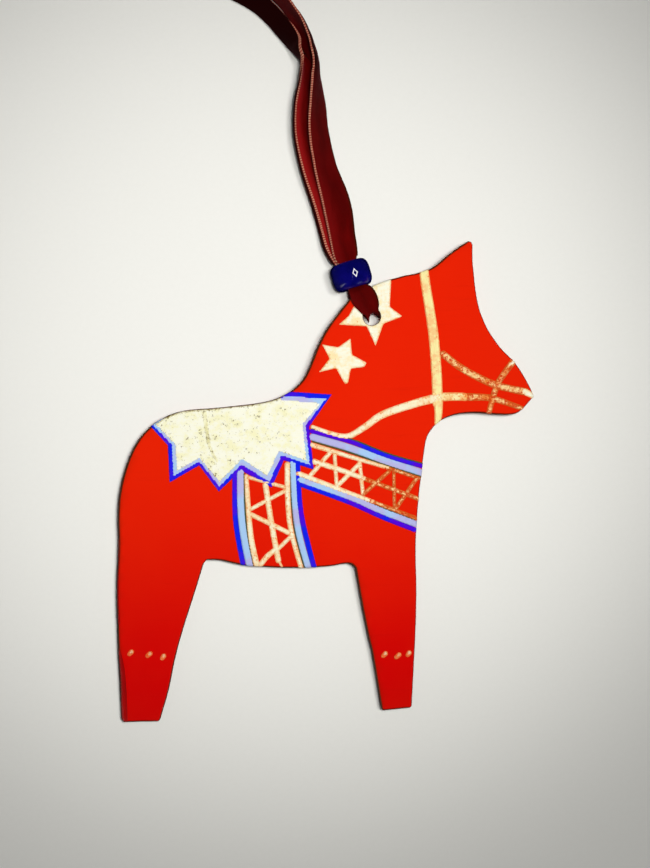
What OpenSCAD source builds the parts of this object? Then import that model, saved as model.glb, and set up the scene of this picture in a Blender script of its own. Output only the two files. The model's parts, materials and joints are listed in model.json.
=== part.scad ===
// Flat wooden folk-craft horse on a ribbon, with one bead on the ribbon.
// It lies on its back face: the feet touch the surface, and the bead holds the neck up.
// Millimetres. +Z is up, +Y runs from the feet to the ear, +X is the way the horse looks.

/* [Board] */
// Thickness of the wooden board
board_t = 3; // [2.5:0.1:3.2]
// Slope of the board, from the feet up to the neck, in degrees
board_tilt = 1.8; // [1.7:0.05:1.85]
// Diameter of the hole that the ribbon goes through
ribbon_hole_d = 4.2; // [4:0.1:5]

/* [Bead] */
// Outer diameter of the bead
bead_od = 9.5; // [9:0.1:10]
// Diameter of the hole through the bead
bead_bore = 4; // [4:0.1:4.4]
// Length of the bead along its hole
bead_len = 6.5; // [6:0.1:6.6]
// Radius of the rounding on the bead's outside
bead_round = 1.35; // [1:0.05:1.35]
// Radius of the rounding where the hole meets the bead's ends
bead_mouth = 1.2; // [1.1:0.05:1.25]

/* [Ribbon] */
// Full width of the ribbon
ribbon_w = 6.35; // [6:0.05:6.4]
// Thickness of the ribbon, with its pile
ribbon_t = 0.8; // [0.5:0.05:0.8]
// Height of the knot that joins the two strands
knot_d = 6.4; // [6:0.1:7]
// Length of the knot along the strands
knot_len = 9; // [8:0.5:11]

/* [Smoothness] */
// Steps between two points of the board's outline
outline_steps = 4; // [2:1:8]

/* [Hidden] */
$fn = 96;

// The outline, counterclockwise from the tip of the ear. Each stretch is one smooth curve
// through its points, and the outline has a corner where two stretches meet.
foot_y = -58;
CREST_AND_NECK = [[34.2, 57.7], [31.9, 56.2], [29.7, 54.6], [27.5, 52.7], [25.4, 51.2], [22.3, 50.1],
    [18, 49.2], [12, 47.2], [6, 43.9]];
BACK_AND_RUMP = [[6, 43.9], [3.5, 40.8], [0.7, 37], [-1.5, 33], [-3.3, 28.5], [-5.3, 24.5], [-9, 21.3],
    [-15, 19.1], [-26, 17.8], [-34, 17.1], [-39, 15.2], [-43.5, 11.7], [-46.6, 6.6], [-49, -1],
    [-49.7, -8], [-49.6, -15], [-50, -24], [-50, -31], [-49.7, -42], [-49, -57.3]];
REAR_FOOT = [[-49, -57.3], [-48.5, foot_y], [-40.2, -57.8], [-39.8, -57.4]];
REAR_LEG = [[-39.8, -57.4], [-37.7, -50], [-36.4, -43.5], [-34.4, -36], [-31.2, -26], [-29.3, -19.8]];
BELLY = [[-28.5, -18.8], [-25, -18.9], [-20, -20], [-14, -20.5], [-6, -20.7], [1, -20.3],
    [4.5, -19.7], [6.3, -19.8], [7.3, -20.8]];
FRONT_LEG = [[7.3, -20.8], [8.6, -28.5], [10.2, -36.5], [11.6, -43], [13.5, -54.7]];
FRONT_FOOT = [[13.5, -54.7], [13.9, -55.2], [20.5, -54.5], [20.9, -54.1]];
BREAST_AND_CHIN = [[20.9, -54.1], [21.2, -48], [21.8, -36], [22, -26], [21.8, -15], [22.4, -5], [23.3, 3],
    [24.2, 9.8], [25.7, 12.8], [28, 14.9], [31.5, 16.2], [36, 16.6], [41, 16.2], [44.8, 16.2],
    [46.8, 17], [49, 19.3], [50, 20.5]];
FACE = [[50, 20.5], [49.4, 22.2], [48.1, 24.7], [46.7, 27], [44.9, 29.3], [42.4, 31.8], [40.4, 34.4],
    [38.7, 37.2], [37.1, 41], [36.2, 45], [35.6, 50], [35.3, 54], [35.3, 56.8]];
EAR_TIP = [[35.3, 56.8], [35, 57.5], [34.2, 57.7]];

// Centre of the ribbon's hole, which the ribbon swings about
HOLE = [11.2, 39.5];

// Centre of the bead, which lies on the surface, and the way its hole points, left of +Y
BEAD = [6.3, 49.5, bead_od / 2];
bead_turn = 17;

// The ribbon's route. Each point is x, y, z and the share of the full width that shows there.
// The last number is an angle: on the loop the way that the ribbon runs, left of +Y, and on the
// strands the roll about the ribbon's own line, where 0 lies flat and 90 stands on its edge.
LOOP = [[6.3, 49.5, 5.2, 0.5, 17], [6.9, 47.5, 5.25, 0.52, 17], [7.05, 47, 5.4, 0.54, 18],
    [7.15, 46.7, 5.65, 0.57, 19], [7.3, 46.35, 5.9, 0.58, 21], [8.1, 45.5, 6.8, 0.82, 26],
    [8.95, 44.5, 6.85, 0.97, 30], [9.95, 43, 6.8, 0.93, 30], [10.85, 41.2, 6.75, 0.74, 28],
    [11.2, 40.5, 6.68, 0.55, 25], [11.3, 40.05, 6, 0.48, 24], [11.3, 39.95, 5.2, 0.48, 24],
    [11.3, 39.95, 3.9, 0.48, 24], [11.3, 40.05, 3.1, 0.48, 24], [11.1, 40.45, 2.55, 0.54, 27],
    [10.7, 41.1, 2.5, 0.7, 30], [9.7, 42.5, 2.55, 0.85, 30], [8.6, 44.2, 2.6, 0.9, 30],
    [7.8, 45.4, 2.7, 0.75, 26], [7.25, 46.4, 3.55, 0.6, 21], [7.15, 46.7, 3.85, 0.57, 19],
    [7.05, 47, 4.1, 0.54, 18], [6.9, 47.5, 4.25, 0.52, 17], [6.3, 49.5, 4.3, 0.5, 17]];
FRONT_STRAND = [[6.3, 49.5, 5.2, 0.5, 0], [5.5, 52.3, 5.25, 0.55, 0], [5.4, 52.7, 5.3, 0.7, 0],
    [5, 54, 5.2, 0.92, 0], [4.4, 57.5, 4.3, 1, 5], [3.3, 63, 3.3, 1, 10], [2, 68.5, 2.8, 1, 18],
    [0, 76, 2.9, 1, 30], [-1.5, 84, 3.3, 1, 41], [-1.8, 91, 3.5, 1, 54], [-1.85, 97, 3.9, 1, 74],
    [-2.3, 101.3, 4.5, 1, 96], [-4, 106, 4.8, 1, 110], [-5.6, 109.7, 5.5, 1, 109],
    [-7.9, 112.7, 5.9, 1, 110], [-10.7, 115.8, 5.6, 1, 111], [-15.4, 120.2, 4.7, 1, 109],
    [-21.4, 124.8, 3.9, 1, 103], [-28.6, 128.4, 3.3, 0.95, 98], [-36, 130.6, 3.2, 0.9, 97],
    [-44, 131, 3.2, 0.7, 92]];
BACK_STRAND = [[6.3, 49.5, 4.3, 0.5, 0], [5.4, 52.3, 4.25, 0.55, 0], [5.2, 52.7, 4.2, 0.65, 0],
    [4.4, 54, 4, 0.85, 0], [3, 57.5, 2.8, 1, 5], [1.5, 63, 1.6, 1, 10], [-0.5, 69, 1.7, 1, 20],
    [-2.9, 75.5, 2.1, 1, 30], [-4.9, 83, 2.7, 1, 42], [-5.3, 89.5, 3, 1, 50], [-4.6, 96, 3.2, 1, 53],
    [-4.9, 101, 3.3, 1, 66], [-6.8, 103.4, 3.25, 1, 100], [-8, 105.4, 2.7, 1, 132],
    [-9.8, 108.1, 2.1, 1, 150], [-12.5, 111.3, 1.35, 1, 165], [-16.4, 115, 1, 1, 171],
    [-22.5, 119, 0.8, 1, 178], [-29, 122.5, 0.7, 1, 180], [-36, 125.5, 1, 0.95, 180],
    [-44, 128, 2, 0.7, 180]];
TAILS = [[[-50, 131.2, 2.6, 0.4, 0], [-54, 132.5, 1.4, 0.6, 0], [-59, 133, 0.6, 0.9, 0],
        [-68, 131.5, 0.6, 1, 0]],
    [[-50, 127.8, 2.2, 0.4, 0], [-54, 126, 1.1, 0.6, 0], [-58.5, 124, 0.6, 0.9, 0],
        [-66, 121.5, 0.6, 1, 0]]];

// Centre of the knot, and the way its length runs, left of +Y
KNOT = [-47, 129.5, knot_d / 2];
knot_turn = 90;

// A point on the smooth curve from b to c, where a and d are their neighbours and t goes from 0 to 1
function curve_point(a, b, c, d, t) =
    b + t / 2 * ((c - a) + t * ((2 * a - 5 * b + 4 * c - d) + t * (3 * b - a - 3 * c + d)));

// A smooth curve through the points p, without its last point
function smooth(p, steps) = [
    for (i = [0:len(p) - 2])
        for (k = [0:steps - 1])
            curve_point(p[max(i - 1, 0)], p[i], p[i + 1], p[min(i + 2, len(p) - 1)], k / steps)
];

OUTLINE = concat(
    smooth(CREST_AND_NECK, outline_steps),
    smooth(BACK_AND_RUMP, outline_steps),
    smooth(REAR_FOOT, 1),
    smooth(REAR_LEG, outline_steps),
    [REAR_LEG[len(REAR_LEG) - 1]],
    smooth(BELLY, outline_steps),
    smooth(FRONT_LEG, outline_steps),
    smooth(FRONT_FOOT, 1),
    smooth(BREAST_AND_CHIN, outline_steps),
    smooth(FACE, outline_steps),
    smooth(EAR_TIP, 1));

function unit(v) = v / norm(v);
function place(p) = [p[0], p[1], p[2]];

// The way that the route runs at its point i
function along(route, i) =
    unit(place(route[min(i + 1, len(route) - 1)]) - place(route[max(i - 1, 0)]));

// The way across the ribbon, for the loop and for a strand
function loop_side(p) = [cos(p[4]), sin(p[4]), 0];
function strand_side(route, i) =
    let (way = along(route, i), level = unit([way[1], -way[0], 0]))
    unit(cos(route[i][4]) * level - sin(route[i][4]) * cross(level, way));

// The ribbon's eight-sided section: w wide, t thick, with its corners cut
function section(w, t) = let (a = w / 2, b = t / 2, c = t / 4)
    [[a, -c], [a, c], [a - c, b], [c - a, b], [-a, c], [-a, -c], [c - a, -b], [a - c, -b]];

// A flat band along the route, which lies across the directions in sides
module band(route, sides) {
    rings = len(route);
    corners = 8;
    points = [
        for (i = [0:rings - 1])
            let (up = unit(cross(sides[i], along(route, i))))
                for (q = section(route[i][3] * ribbon_w, ribbon_t))
                    place(route[i]) + q[0] * sides[i] + q[1] * up
    ];
    walls = [
        for (i = [0:rings - 2])
            for (k = [0:corners - 1])
                let (n = (k + 1) % corners, a = i * corners, b = a + corners)
                    for (face = [[a + k, b + n, a + n], [a + k, b + k, b + n]]) face
    ];
    first_end = [for (k = [0:corners - 1]) k];
    last_end = [for (k = [0:corners - 1]) rings * corners - 1 - k];
    polyhedron(points, concat([first_end], walls, [last_end]));
}

module strand(route) {
    band(route, [for (i = [0:len(route) - 1]) strand_side(route, i)]);
}

// The painted board. Its hole is drilled straight up, in line with the swing of the ribbon
module horse_board() {
    color("orangered")
    difference() {
        translate([0, foot_y, 0])
            rotate([board_tilt, 0, 0])
                translate([0, -foot_y, 0])
                    linear_extrude(board_t) polygon(OUTLINE);
        translate([HOLE[0], HOLE[1], 0]) cylinder(d = ribbon_hole_d, h = 4 * board_t);
    }
}

// Half of the bead's section: a wall with round corners, at its distance from the hole's axis
module bead_section() {
    r_in = bead_bore / 2;
    r_out = bead_od / 2;
    half = bead_len / 2;
    translate([r_in, -half + bead_mouth])
        square([r_out - bead_round - r_in, bead_len - 2 * bead_mouth]);
    translate([r_in + bead_mouth, -half])
        square([r_out - bead_round - r_in - bead_mouth, bead_len]);
    translate([r_out - bead_round - 0.01, -half + bead_round])
        square([bead_round + 0.01, bead_len - 2 * bead_round]);
    for (end = [-1, 1]) {
        translate([r_in + bead_mouth, end * (half - bead_mouth)]) circle(r = bead_mouth);
        translate([r_out - bead_round, end * (half - bead_round)]) circle(r = bead_round);
    }
}

module bead() {
    color("midnightblue")
    translate(BEAD)
        rotate([0, 0, bead_turn])
            rotate([-90, 0, 0])
                rotate_extrude() bead_section();
}

// From inside the bead over the horse's face, down through the hole and back under the board
module ribbon_loop() {
    color("darkred")
    band(LOOP, [for (p = LOOP) loop_side(p)]);
}

module ribbon_front_strand() {
    color("firebrick") strand(FRONT_STRAND);
}

module ribbon_back_strand() {
    color("darkred") strand(BACK_STRAND);
}

// A barrel with round corners, the outer shape of the overhand knot
module ribbon_knot() {
    corner = knot_d / 4;
    color("maroon")
    translate(KNOT)
        rotate([0, 0, knot_turn])
            rotate([-90, 0, 0])
                rotate_extrude() {
                    translate([0, -knot_len / 2]) square([knot_d / 2 - corner, knot_len]);
                    translate([0, corner - knot_len / 2]) square([knot_d / 2, knot_len - 2 * corner]);
                    for (end = [-1, 1])
                        translate([knot_d / 2 - corner, end * (knot_len / 2 - corner)]) circle(r = corner);
                }
}

// The two cut ends of the ribbon, past the knot
module ribbon_tails() {
    color("darkred")
    for (tail = TAILS) strand(tail);
}

horse_board();
bead();
ribbon_loop();
ribbon_front_strand();
ribbon_back_strand();
ribbon_knot();
ribbon_tails();
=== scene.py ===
"""Painted wooden horse on a velvet ribbon with one bead: the looks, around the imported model. Metres."""
import json
import math

import bpy
import numpy as np
from mathutils import Matrix, Vector, noise
from mathutils.geometry import delaunay_2d_cdt


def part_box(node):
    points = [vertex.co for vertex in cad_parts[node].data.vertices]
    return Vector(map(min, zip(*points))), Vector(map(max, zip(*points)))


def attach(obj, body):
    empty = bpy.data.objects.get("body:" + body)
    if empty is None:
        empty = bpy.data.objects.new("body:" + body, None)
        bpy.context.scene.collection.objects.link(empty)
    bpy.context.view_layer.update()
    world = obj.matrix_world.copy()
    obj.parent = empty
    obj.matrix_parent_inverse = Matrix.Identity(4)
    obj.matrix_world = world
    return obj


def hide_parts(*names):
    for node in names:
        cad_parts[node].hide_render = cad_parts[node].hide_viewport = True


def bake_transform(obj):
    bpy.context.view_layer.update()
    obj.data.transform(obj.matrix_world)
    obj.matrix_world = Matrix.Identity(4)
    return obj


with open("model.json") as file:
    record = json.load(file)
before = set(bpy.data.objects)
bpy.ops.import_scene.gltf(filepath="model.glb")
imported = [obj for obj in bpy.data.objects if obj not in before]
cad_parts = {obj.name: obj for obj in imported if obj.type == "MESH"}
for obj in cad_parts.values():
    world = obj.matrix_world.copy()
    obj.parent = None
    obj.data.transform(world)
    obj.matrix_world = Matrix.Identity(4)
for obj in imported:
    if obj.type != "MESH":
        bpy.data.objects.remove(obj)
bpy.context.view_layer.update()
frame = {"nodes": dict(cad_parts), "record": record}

MM = 0.001

# ---- Driving sizes ----

RIBBON_W = 0.00635
RIBBON_T = 0.0008
EDGE_ROUND = 0.5 * MM       # rounding of the board's painted edge
BACK_ROUND = 0.25 * MM
PAINT_WRAP = 0.3 * MM       # how far a painted layer runs on past the outline
PAINT_ROOT = 0.03 * MM      # how deep a painted layer is set into the board
PAINT_ROUGH = 0.035 * MM    # how far a painted edge wanders
HOLE_RIM = 2.6 * MM         # from the hole's centre to a point on the loop, towards the bead

# ---- Camera, light and floor ----

VIEW_CENTRE = (0.0, 0.0114)
VIEW_HEIGHT = 0.2083        # what the picture shows from top to bottom, at the board's face
FACE_HEIGHT = 0.0048
CAMERA_DISTANCE = 0.45
SENSOR = 24.0
POOL_CENTRE = (-0.011, 0.03)
POOL_HEIGHT = 0.42
POOL_RADIUS = 0.147
POOL_WATTS = 4.9
LAMP = (0.04, 0.035, POOL_HEIGHT)
LIGHT_TINT = (1.0, 0.99, 0.95)


def add_camera():
    data = bpy.data.cameras.new("camera")
    data.sensor_fit = "VERTICAL"
    data.sensor_height = SENSOR
    data.lens = SENSOR * CAMERA_DISTANCE / VIEW_HEIGHT
    data.clip_start = 0.01
    camera = bpy.data.objects.new("camera", data)
    camera.location = (*VIEW_CENTRE, FACE_HEIGHT + CAMERA_DISTANCE)
    bpy.context.collection.objects.link(camera)
    bpy.context.scene.camera = camera


def aim(light, place, target):
    light.location = place
    light.rotation_euler = (Vector(target) - Vector(place)).to_track_quat("-Z", "Y").to_euler()
    light.visible_camera = False
    bpy.context.collection.objects.link(light)


def add_area_light(name, place, target, size, watts):
    """A light that only gloss shows."""
    data = bpy.data.lights.new(name, "AREA")
    data.shape = "RECTANGLE"
    data.size, data.size_y = size
    data.energy = watts
    light = bpy.data.objects.new(name, data)
    light.visible_diffuse = False
    aim(light, place, target)


def add_soft_light(name, kind, energy, place, target):
    """A light that gloss doesn't show."""
    data = bpy.data.lights.new(name, kind)
    data.energy = energy
    data.color = LIGHT_TINT
    light = bpy.data.objects.new(name, data)
    light.visible_glossy = False
    aim(light, place, target)
    return data


def add_lights():
    """An even light that slants in from the right, a pool of light in the middle, and two for gloss."""
    world = bpy.data.worlds.new("studio")
    world.use_nodes = True
    background = world.node_tree.nodes["Background"]
    background.inputs["Color"].default_value = (1.0, 0.99, 0.96, 1)
    background.inputs["Strength"].default_value = 0.07
    world.cycles_visibility.glossy = False
    bpy.context.scene.world = world
    even = add_soft_light("even", "SUN", 1.3, (0.13, 0.03, 0.45), (0, 0, 0))
    even.angle = math.radians(11)
    pool = add_soft_light("pool", "SPOT", POOL_WATTS, LAMP, (*POOL_CENTRE, 0))
    pool.spot_size = 2 * math.atan(POOL_RADIUS / POOL_HEIGHT)
    pool.spot_blend = 1.0
    pool.shadow_soft_size = 0.03
    add_area_light("strip", (-0.3, -0.22, 0.1), (0, 0.03, 0.005), (0.05, 0.3), 0.25)
    add_area_light("window", (0.5, -0.45, 0.22), (0, 0.02, 0), (0.3, 0.25), 0.3)
    bpy.context.scene.view_settings.view_transform = "Standard"


# ---- Node helpers ----

class Shader:
    """A material under construction: its nodes, its Principled shader, and short ways to add to them."""

    def __init__(self, name, **values):
        self.material = bpy.data.materials.new(name)
        self.material.use_nodes = True
        self.tree = self.material.node_tree
        self.surface = self.tree.nodes["Principled BSDF"]
        self.feed(self.surface, **values)
        self.coordinates = self.tree.nodes.new("ShaderNodeTexCoord")

    def give(self, socket, value):
        """Set the socket to a plain value, or link it to another node's output."""
        if isinstance(value, bpy.types.NodeSocket):
            self.tree.links.new(value, socket)
        else:
            socket.default_value = value

    def feed(self, node, **inputs):
        """Give each named input of the node its value, and return the node's outputs."""
        for name, value in inputs.items():
            self.give(node.inputs[name.replace("_", " ")], value)
        return node.outputs

    def new(self, kind):
        return self.tree.nodes.new("ShaderNode" + kind)

    def where(self, uv):
        return self.coordinates.outputs["UV" if uv else "Object"]

    def place(self, scale=(1, 1, 1), turn=0.0, uv=False):
        """The object's or the ribbon's own coordinates, turned about Z and stretched."""
        inputs = {"Scale": scale, "Rotation": (0, 0, turn), "Vector": self.where(uv)}
        return self.feed(self.new("Mapping"), **inputs)["Vector"]

    def noise(self, where, scale, detail=3.0, roughness=0.6, distortion=0.0):
        return self.feed(self.new("TexNoise"), Scale=scale, Detail=detail, Roughness=roughness,
                         Distortion=distortion, Vector=where)["Fac"]

    def range(self, value, low, high, start=0.0, end=1.0):
        """value, from low to high, moved smoothly to the span from start to end."""
        node = self.new("MapRange")
        node.interpolation_type = "SMOOTHSTEP"
        return self.feed(node, Value=value, From_Min=low, From_Max=high, To_Min=start, To_Max=end)["Result"]

    def math(self, operation, a, b=0.0):
        node = self.new("Math")
        node.operation = operation
        for socket, value in zip(node.inputs, (a, b)):
            self.give(socket, value)
        return node.outputs["Value"]

    def plus(self, a, b, share, middle=0.0):
        """a, and b's height over the middle times share."""
        if middle:
            b = self.math("SUBTRACT", b, middle)
        return self.math("ADD", a, self.math("MULTIPLY", b, share))

    def mix(self, share, a, b):
        """Colour a where share is 0 and colour b where it is 1."""
        node = self.new("Mix")
        node.data_type = "RGBA"
        a, b = ((*colour, 1) if isinstance(colour, tuple) else colour for colour in (a, b))
        return self.feed(node, Factor=share, A=a, B=b)["Result"]

    def tint(self, colour, over, value, low, high, most=1.0):
        """The colour, with the other laid over it by up to most as value goes from low to high."""
        return self.mix(self.range(value, low, high, 0, most), colour, over)

    def axis(self, name, uv=False):
        return self.feed(self.new("SeparateXYZ"), Vector=self.where(uv))[name]

    def attribute(self, name):
        node = self.new("Attribute")
        node.attribute_name = name
        return node.outputs["Fac"]

    def bump(self, height, distance, strength):
        return self.feed(self.new("Bump"), Distance=distance, Strength=strength, Height=height)["Normal"]

    def finish(self, colour, roughness=None, normal=None, metallic=None):
        inputs = {"Base Color": colour, "Roughness": roughness, "Normal": normal, "Metallic": metallic}
        self.feed(self.surface, **{name: value for name, value in inputs.items() if value is not None})
        return self.material


# ---- Materials ----

RED_TOP = (0.725, 0.013, 0.0005)
RED_FOOT = (0.62, 0.0003, 0.0003)
RED_DEEP = (0.45, 0.002, 0.0005)
WOOD_DARK = (0.06, 0.014, 0.004)
WOOD_LIGHT = (0.12, 0.038, 0.012)
VELVET_DARK = (0.078, 0.0008, 0.0008)
VELVET_RED = (0.135, 0.0012, 0.0012)
STITCHES = 11               # in a stretch of ribbon as long as it is wide
NO_LINE = 3.0               # the value of "line" where no stitched line shows


def floor_material():
    shader = Shader("floor_paper", Roughness=0.9)
    grain = shader.noise(shader.place(), 900, 4)
    colour = shader.mix(grain, (0.81, 0.81, 0.79), (0.84, 0.84, 0.82))
    return shader.finish(colour, normal=shader.bump(grain, 0.03 * MM, 0.3))


def board_material():
    """Hand-brushed red, darker towards the feet partly as painted shade, on a dark cut edge. The rounded rim
    carries painted shade, most on the left and lower sides. "edge" is 0 on the faces and 1 on the side, and
    sets how much of that painted shade and of the cut wood shows.
    """
    shader = Shader("painted_wood", Roughness=0.42, Specular_IOR_Level=0.2)
    brushed = shader.noise(shader.place((60, 900, 60), 0.25), 1, 4, 0.65, 0.4)
    crossed = shader.noise(shader.place((700, 80, 60), 0.1), 1, 3, 0.6, 0.3)
    clouds = shader.noise(shader.place(), 45, 3)
    # Painted shade: the red darkens towards the feet, partly its own tone and partly painted shade for the
    # light falling off
    fall = shader.range(shader.axis("Y"), -0.05, 0.01)
    red = shader.mix(fall, RED_FOOT, RED_TOP)
    red = shader.tint(red, RED_DEEP, brushed, 0.55, 0.85, 0.22)
    red = shader.tint(red, (0.79, 0.022, 0.001), clouds, 0.35, 0.75, 0.14)
    edge = shader.attribute("edge")
    worn = shader.noise(shader.place(), 420, 4, 0.7)
    plies = shader.noise(shader.place((40, 40, 2600)), 1, 2, 0.5)
    wood = shader.mix(plies, WOOD_DARK, WOOD_LIGHT)
    reach = shader.plus(edge, worn, 0.9, 0.5)
    # Painted shade on the rounded rim, by "edge"; the cut side itself is the dark wood laid over it below
    painted_rim_shade = shader.tint(red, (0.09, 0.009, 0.0005), edge, 0.03, 0.45, 0.95)
    colour = shader.tint(painted_rim_shade, wood, reach, 0.42, 0.7)
    relief = shader.plus(brushed, crossed, 0.6)
    normal = shader.bump(relief, 0.05 * MM, 0.6)
    rough = shader.range(brushed, 0.3, 0.8, 0.36, 0.52)
    return shader.finish(colour, rough, normal)


def gold_material(name, pale, deep, cover, ground, edge, wear, lay=(400, 2600, 400)):
    """Gold paint: pale and cracked, with the ground showing where the brush ran dry. "rim" is 1 at its edge,
    and lay is how fine the brush's streaks are along X, Y and Z."""
    shader = Shader(name, Roughness=0.4)
    tint = shader.noise(shader.place(), 420, 5, 0.7)
    flake = shader.noise(shader.place(), 1500, 4, 0.75, 0.6)
    patch = shader.noise(shader.place(), 330, 4, 0.65)
    streak = shader.noise(shader.place(lay), 1, 4, 0.7)
    mottled = shader.plus(tint, patch, 0.9, 0.5)
    gold = shader.tint(pale, deep, mottled, 0.4, 0.7)
    gold = shader.tint(gold, deep, streak, 0.5, 0.72, wear)
    clumped = shader.plus(flake, patch, 0.3, 0.5)
    rim = shader.attribute("rim")
    dry = shader.plus(clumped, rim, 0.13)
    specks = shader.range(dry, cover, cover + 0.09)
    colour = shader.mix(specks, gold, ground)
    thin = shader.plus(rim, streak, 1.4, 0.5)
    colour = shader.tint(colour, edge, thin, 0.3, 0.8, wear)
    relief = shader.plus(tint, flake, 0.7)
    normal = shader.bump(relief, 0.05 * MM, 0.7)
    metal = shader.range(specks, 0, 1, 0.12, 0.0)
    return shader.finish(colour, shader.range(flake, 0.3, 0.7, 0.3, 0.5), normal, metal)


def brushed_material(name, main, other):
    """Brushed craft paint in two close tints, thinner and darker at its rim."""
    shader = Shader(name, Roughness=0.42)
    tint = shader.noise(shader.place(), 140, 3, 0.6, 0.3)
    streak = shader.noise(shader.place((900, 900, 400)), 1, 4, 0.7)
    colour = shader.tint(main, other, tint, 0.42, 0.62)
    colour = shader.tint(colour, tuple(0.55 * c for c in main), streak, 0.55, 0.8, 0.3)
    rim = shader.range(shader.attribute("rim"), 0.5, 1.0, 0, 0.35)
    colour = shader.mix(rim, colour, tuple(0.35 * c for c in other))
    normal = shader.bump(streak, 0.05 * MM, 0.5)
    return shader.finish(colour, shader.range(streak, 0.3, 0.7, 0.36, 0.5), normal)


def velvet_material():
    """Dark red pile with a stitched selvage on its left edge, with painted shade and a painted sheen laid on
    it.
    U runs across the ribbon, V along it in widths, and "line" goes from 0 at the left edge to 1 where the
    stitched line ends. Below 0 is the strip added past the left edge, painted near black as painted shade.
    "under" carries the painted shade on undersides, on the loop and on the top of a curled band."""
    shader = Shader("velvet", Roughness=0.8, Specular_IOR_Level=0.12, Sheen_Weight=0.14,
                    Sheen_Roughness=0.3, Sheen_Tint=(1.0, 0.2, 0.25, 1))
    pile = shader.noise(shader.place((40, 40, 1), uv=True), 1, 4, 0.7)
    lay = shader.noise(shader.place((1.6, 0.5, 1), uv=True), 1, 3, 0.55, 0.5)
    wales = shader.noise(shader.place((26, 1.2, 1), uv=True), 1, 3, 0.6)
    colour = shader.tint(VELVET_DARK, VELVET_RED, lay, 0.3, 0.7)
    colour = shader.tint(colour, (0.24, 0.004, 0.004), pile, 0.45, 0.8, 0.4)
    colour = shader.tint(colour, (0.04, 0.0005, 0.0005), wales, 0.5, 0.8, 0.35)
    across = shader.axis("X", uv=True)
    # Painted shade: a dark band along the right edge of every band
    colour = shader.tint(colour, (0.03, 0.008, 0.001), across, 0.88, 0.99, 0.85)
    # Painted shade: "under" darkens the undersides, the loop and the rolled top of a curled band; the
    # undersides are partly a darker back of their own
    under = shader.attribute("under")
    # Painted sheen: the left part of each band is lightened towards pink, less where "under" is high
    left = shader.range(across, 0.15, 0.5, 0.75, 0)
    lit = shader.math("MULTIPLY", left, shader.range(under, 0, 0.3, 1, 0.2))
    colour = shader.mix(lit, colour, (0.31, 0.008, 0.009))
    colour = shader.mix(under, colour, (0.011, 0.0008, 0.0008))
    line = shader.attribute("line")
    # Painted shade: where "line" is below 0, the strip added past the left edge goes near black
    colour = shader.tint(colour, (0.02, 0.001, 0.001), line, -0.05, -0.3)
    selvage = shader.math("MULTIPLY", shader.range(line, 1.15, 0.85), shader.range(line, -0.3, -0.05))
    stitch = shader.math("SINE", shader.math("MULTIPLY", shader.axis("Y", uv=True), 2 * math.pi * STITCHES))
    thread = shader.mix(shader.range(stitch, -0.5, 0.6), (0.2, 0.014, 0.012), (0.68, 0.36, 0.22))
    thread = shader.tint(thread, (0.34, 0.06, 0.05), pile, 0.42, 0.62)
    colour = shader.mix(selvage, colour, thread)
    depth = shader.plus(pile, shader.math("MULTIPLY", selvage, stitch), 0.5)
    normal = shader.bump(depth, 0.12 * MM, 0.8)
    return shader.finish(colour, normal=normal)


def bead_material():
    shader = Shader("bead_glaze", Roughness=0.2, IOR=1.4)
    cloud = shader.noise(shader.place(), 260, 3, 0.6)
    scuffs = shader.noise(shader.place((1500, 4200, 1500), 0.3), 1, 4, 0.7)
    colour = shader.mix(shader.range(cloud, 0.3, 0.75), (0.0012, 0.0012, 0.075), (0.003, 0.002, 0.14))
    rough = shader.range(scuffs, 0.5, 0.85, 0.2, 0.34)
    return shader.finish(colour, rough, shader.bump(cloud, 0.04 * MM, 0.35))


def motif_material():
    shader = Shader("motif_white", Roughness=0.4)
    grain = shader.noise(shader.place(), 2500, 3)
    colour = shader.mix(grain, (0.85, 0.85, 0.9), (0.62, 0.62, 0.75))
    return shader.finish(colour, normal=shader.bump(grain, 0.02 * MM, 0.5))


# ---- Meshes ----

def add_mesh(name, vertices, faces, material, smooth=True):
    mesh = bpy.data.meshes.new(name)
    mesh.from_pydata([tuple(map(float, v)) for v in vertices], [], [tuple(map(int, f)) for f in faces])
    mesh.polygons.foreach_set("use_smooth", [smooth] * len(mesh.polygons))
    mesh.materials.append(material)
    mesh.update()
    thing = bpy.data.objects.new(name, mesh)
    bpy.context.collection.objects.link(thing)
    return thing


def add_values(thing, name, values):
    """A number at each vertex, which the material reads by this name."""
    thing.data.attributes.new(name, "FLOAT", "POINT").data.foreach_set("value", values)


def add_weave(thing, uv):
    """The ribbon's own coordinates at each vertex, across it and along it."""
    weave = thing.data.uv_layers.new(name="weave")
    for corner in thing.data.loops:
        weave.data[corner.index].uv = uv[corner.vertex_index]


def quads(rows, columns, base=0, closed=False):
    """The faces between rings of vertices. closed joins the last ring to the first."""
    made = []
    for i in range(rows if closed else rows - 1):
        step = ((i + 1) % rows - i) * columns
        for k in range(columns):
            a, b = base + i * columns + k, base + i * columns + (k + 1) % columns
            made.append((a, b, b + step, a + step))
    return made


def end_faces(rows, columns):
    """The two faces that close a tube of rings at its ends."""
    last = (rows - 1) * columns
    return [tuple(range(columns - 1, -1, -1)), tuple(range(last, last + columns))]


def middle_of(node):
    """The centre of a CAD node's box, and half of the box's size."""
    low, high = (np.array(corner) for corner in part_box(node))
    return (low + high) / 2, (high - low) / 2


def joint_record(name):
    return next(j for j in frame["record"]["behaviour"]["joints"] if j["name"] == name)


def unit(v):
    return v / np.linalg.norm(v)


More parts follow.
